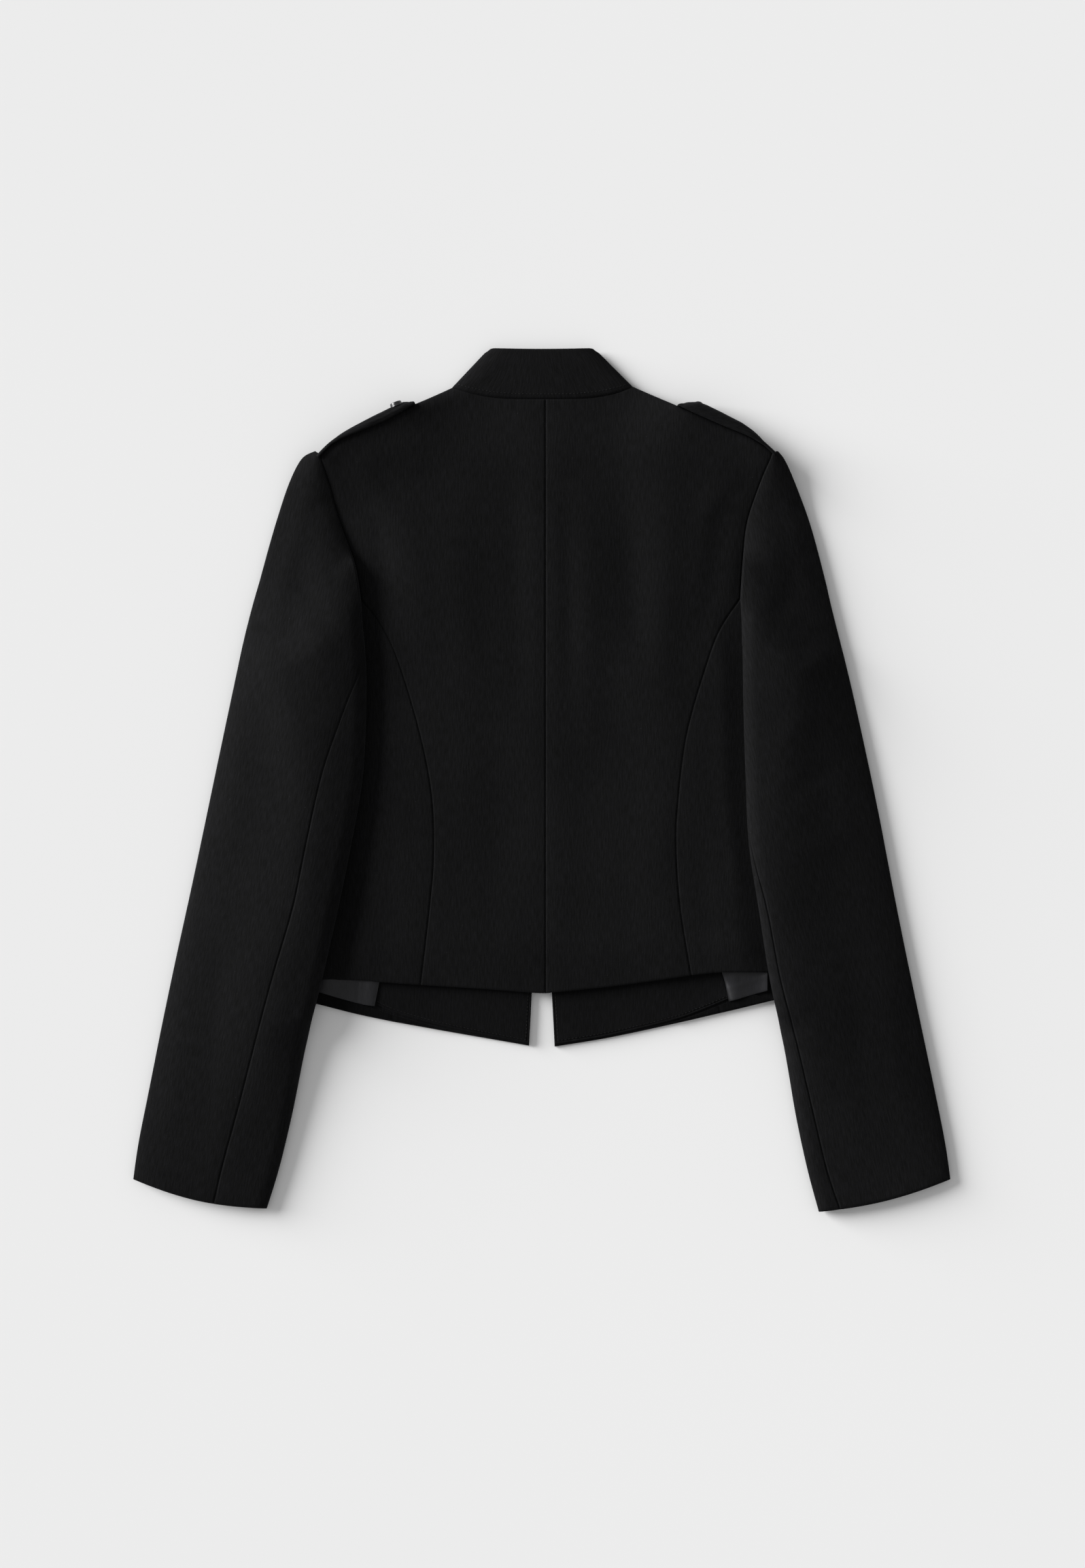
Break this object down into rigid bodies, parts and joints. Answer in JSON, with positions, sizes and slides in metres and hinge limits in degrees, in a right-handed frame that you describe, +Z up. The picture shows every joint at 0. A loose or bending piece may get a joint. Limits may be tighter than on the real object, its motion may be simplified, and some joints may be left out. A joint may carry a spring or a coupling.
{
  "type": "fitted blazer",
  "caption": "Cropped fitted blazer laid flat with its back up: stand collar, curved back seams, two-piece sleeves, shoulder straps and longer pointed fronts.",
  "frame": {"origin": "on the surface it lies on, under the middle of its outline box", "axes": "+Z up from the surface, +Y towards the collar, +X towards the wearer's right"},
  "size_m": [0.674, 0.7108, 0.0189],
  "materials": {
    "suiting": "matt black slubbed crepe suiting with a faint sheen",
    "suiting_inside": "the same suiting inside, pressed flat as facing and turned hem",
    "satin_lining": "charcoal satin lining with a soft lustre",
    "button_resin": "dark polished resin"
  },
  "bodies": {
    "root": {"front_left": "suiting", "side_front_left": "suiting", "facing_left": "suiting_inside", "turned_hem_left": "suiting_inside", "lining_left": "satin_lining", "back_left": "suiting", "side_back_left": "suiting", "top_sleeve_left": "suiting", "under_sleeve_left": "suiting", "shoulder_strap_left": "suiting", "strap_button_left": "button_resin", "front_right": "suiting", "side_front_right": "suiting", "facing_right": "suiting_inside", "turned_hem_right": "suiting_inside", "lining_right": "satin_lining", "back_right": "suiting", "side_back_right": "suiting", "top_sleeve_right": "suiting", "under_sleeve_right": "suiting", "shoulder_strap_right": "suiting", "strap_button_right": "button_resin", "collar": "suiting"}
  },
  "joints": []
}
